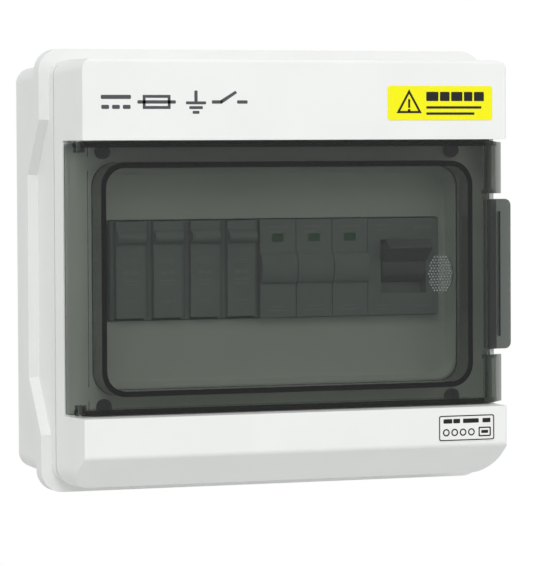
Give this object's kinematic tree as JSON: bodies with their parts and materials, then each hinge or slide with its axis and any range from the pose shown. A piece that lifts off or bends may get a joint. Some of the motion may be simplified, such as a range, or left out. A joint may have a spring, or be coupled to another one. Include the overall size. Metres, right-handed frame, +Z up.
{
  "type": "dc combiner box",
  "caption": "Wall-mounted plastic DC combiner box with a hinged smoked door over fuse holders, a surge protector and a breaker on one rail.",
  "frame": {"origin": "middle of the flat back face that lies on the wall", "axes": "+Z up, +X to the right seen from the front, the front faces -Y and the wall is at Y = 0"},
  "size_m": [0.2196, 0.0952, 0.2],
  "materials": {
    "housing": "light grey-white ABS, fine satin moulding texture",
    "smoked_window": "smoked clear polycarbonate, glossy",
    "seal": "black foam rubber",
    "screw": "zinc plated steel",
    "plug": "dark grey plastic",
    "pin": "stainless steel",
    "warning_film": "yellow printed vinyl film",
    "rating_film": "white printed vinyl film",
    "rail": "zinc plated steel strip",
    "device_housing": "mid to dark grey moulded thermoplastic",
    "device_trim": "dark grey plastic",
    "carrier": "dark grey moulded thermoplastic",
    "fuse": "ceramic tube with plated end caps",
    "cartridge": "dark grey moulded thermoplastic",
    "toggle": "black plastic handle",
    "copper": "bare copper",
    "brass": "brass",
    "lead_red": "red cable sheath",
    "lead_black": "black cable sheath",
    "lead_earth": "green and yellow cable sheath"
  },
  "bodies": {
    "box": {"base_shell": "housing", "front_cover": "housing", "cover_gasket": "seal", "door_gasket": "seal", "cover_screws": "screw", "rail_screws": "screw", "screw_plugs": "plug", "hinge_pin_upper": "pin", "hinge_pin_lower": "pin", "warning_label": "warning_film", "rating_label": "rating_film", "din_rail": "rail", "rail_clips": "device_trim", "fuse_terminal_screws": "screw", "spd_terminal_screws": "screw", "breaker_terminal_screws": "screw", "spd_base": "device_housing", "breaker_body": "device_housing", "comb_busbar": "copper", "earth_bar": "brass", "earth_bar_feet": "device_trim", "earth_bar_screws": "brass", "positive_lead": "lead_red", "negative_lead": "lead_black", "earth_lead": "lead_earth", "fuse_holder_1": "device_housing", "fuse_holder_2": "device_housing", "fuse_holder_3": "device_housing", "fuse_holder_4": "device_housing"},
    "door": {"door_window": "smoked_window"},
    "latch": {"latch_tab": "smoked_window"},
    "carrier_1": {"fuse_carrier_1": "carrier", "fuse_link_1": "fuse"},
    "carrier_2": {"fuse_carrier_2": "carrier", "fuse_link_2": "fuse"},
    "carrier_3": {"fuse_carrier_3": "carrier", "fuse_link_3": "fuse"},
    "carrier_4": {"fuse_carrier_4": "carrier", "fuse_link_4": "fuse"},
    "cartridge_1": {"spd_cartridge_1": "cartridge"},
    "cartridge_2": {"spd_cartridge_2": "cartridge"},
    "cartridge_3": {"spd_cartridge_3": "cartridge"},
    "handle": {"breaker_toggle": "toggle"}
  },
  "joints": [
    {"name": "door_hinge", "type": "hinge", "parent": "box", "child": "door", "pos_m": [-0.0989, -0.079, 0], "axis": [0, 0, -1], "range_deg": [0, 110]},
    {"name": "latch_flex", "type": "hinge", "parent": "door", "child": "latch", "pos_m": [0.0975, -0.0834, -0.0038], "axis": [0, 0, -1], "range_deg": [0, 6], "stiffness_Nm_per_rad": 1.5},
    {"name": "carrier_1_swing", "type": "hinge", "parent": "box", "child": "carrier_1", "pos_m": [-0.0712, -0.061, -0.017], "axis": [1, 0, 0], "range_deg": [0, 18]},
    {"name": "carrier_2_swing", "type": "hinge", "parent": "box", "child": "carrier_2", "pos_m": [-0.0534, -0.061, -0.017], "axis": [1, 0, 0], "range_deg": [0, 18]},
    {"name": "carrier_3_swing", "type": "hinge", "parent": "box", "child": "carrier_3", "pos_m": [-0.0356, -0.061, -0.017], "axis": [1, 0, 0], "range_deg": [0, 18]},
    {"name": "carrier_4_swing", "type": "hinge", "parent": "box", "child": "carrier_4", "pos_m": [-0.0178, -0.061, -0.017], "axis": [1, 0, 0], "range_deg": [0, 18]},
    {"name": "cartridge_1_slide", "type": "slide", "parent": "box", "child": "cartridge_1", "axis": [0, -1, 0], "range_m": [0, 0.012]},
    {"name": "cartridge_2_slide", "type": "slide", "parent": "box", "child": "cartridge_2", "axis": [0, -1, 0], "range_m": [0, 0.012]},
    {"name": "cartridge_3_slide", "type": "slide", "parent": "box", "child": "cartridge_3", "axis": [0, -1, 0], "range_m": [0, 0.012]},
    {"name": "breaker_switch", "type": "hinge", "parent": "box", "child": "handle", "pos_m": [0.0623, -0.0605, 0], "axis": [1, 0, 0], "range_deg": [0, 76]}
  ]
}
